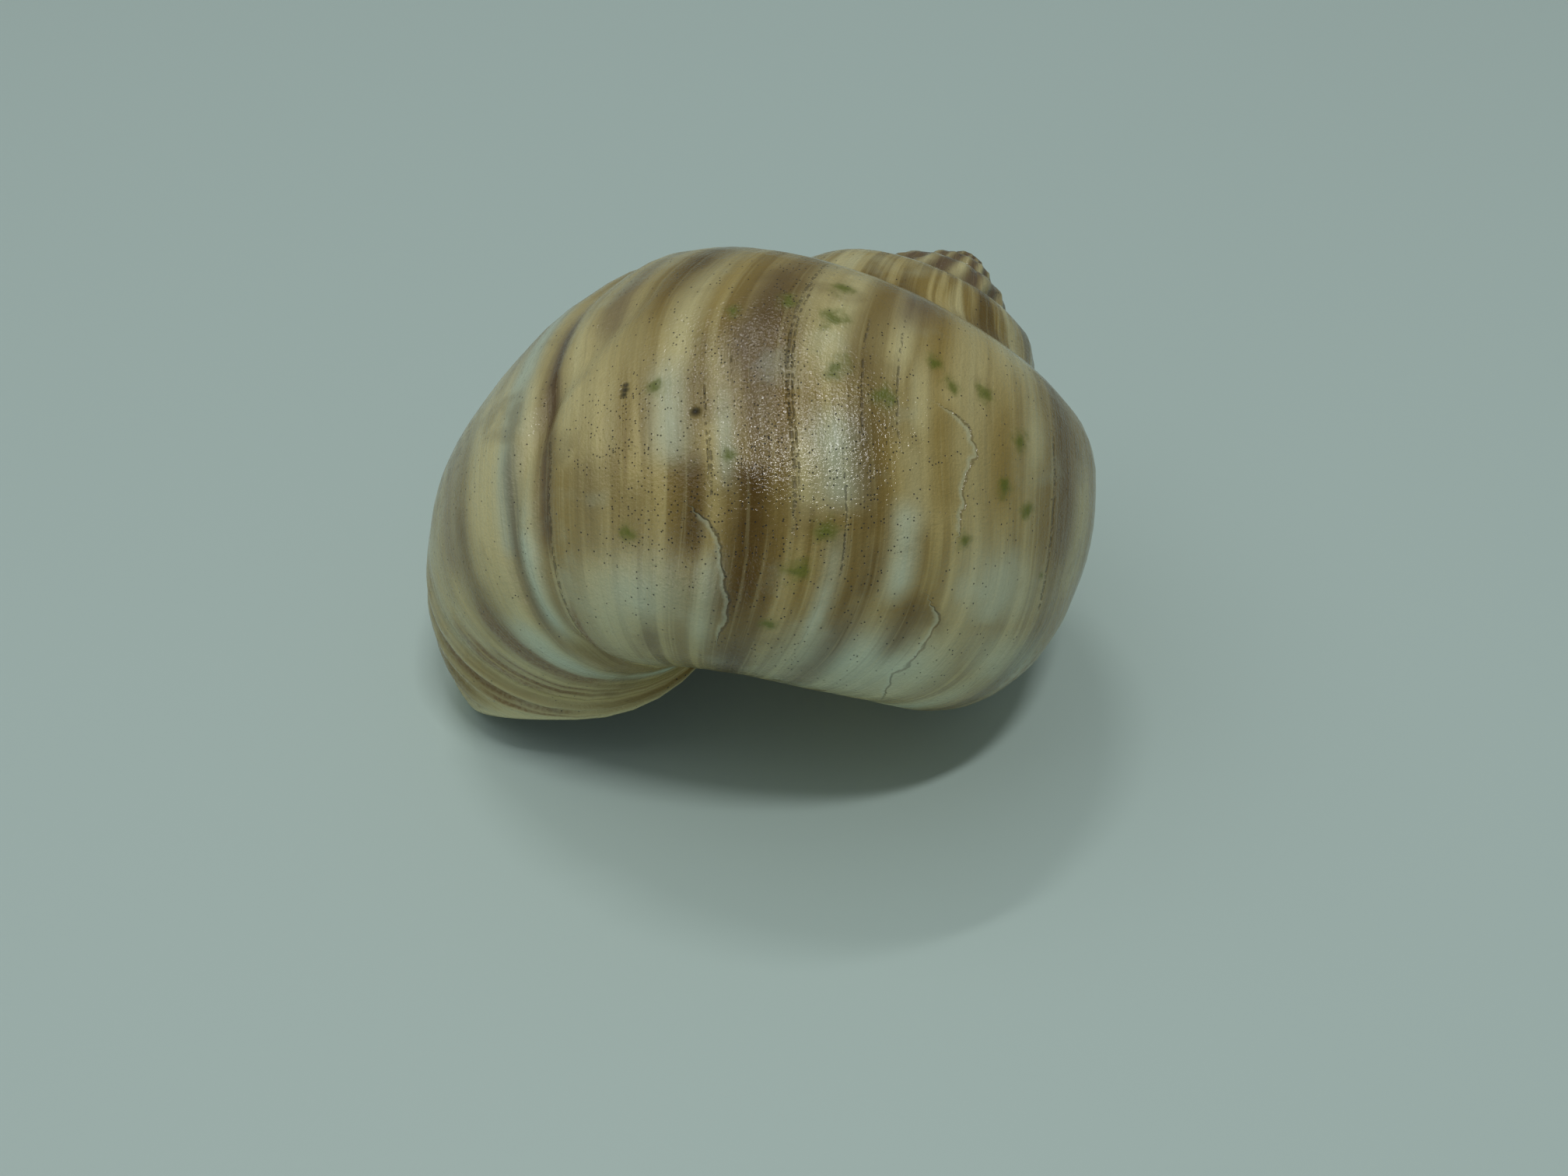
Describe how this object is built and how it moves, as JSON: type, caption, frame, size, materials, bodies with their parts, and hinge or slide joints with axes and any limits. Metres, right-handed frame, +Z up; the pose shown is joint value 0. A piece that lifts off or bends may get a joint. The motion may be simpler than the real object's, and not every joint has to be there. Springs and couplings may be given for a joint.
{
  "type": "moon snail shell",
  "caption": "Empty moon snail shell, round and glossy, lying on its lip and body whorl with the mouth downward, streaked cream and brown.",
  "frame": {"origin": "middle of the bounding box at the ground that the shell lies on", "axes": "+Z up, +X along the longest extent from the lip towards the back of the body whorl, +Y from the body whorl towards the spire"},
  "size_m": [0.0384, 0.0314, 0.0278],
  "materials": {
    "shell": "glossy, worn in places"
  },
  "bodies": {
    "root": {"shell": "shell"}
  },
  "joints": []
}
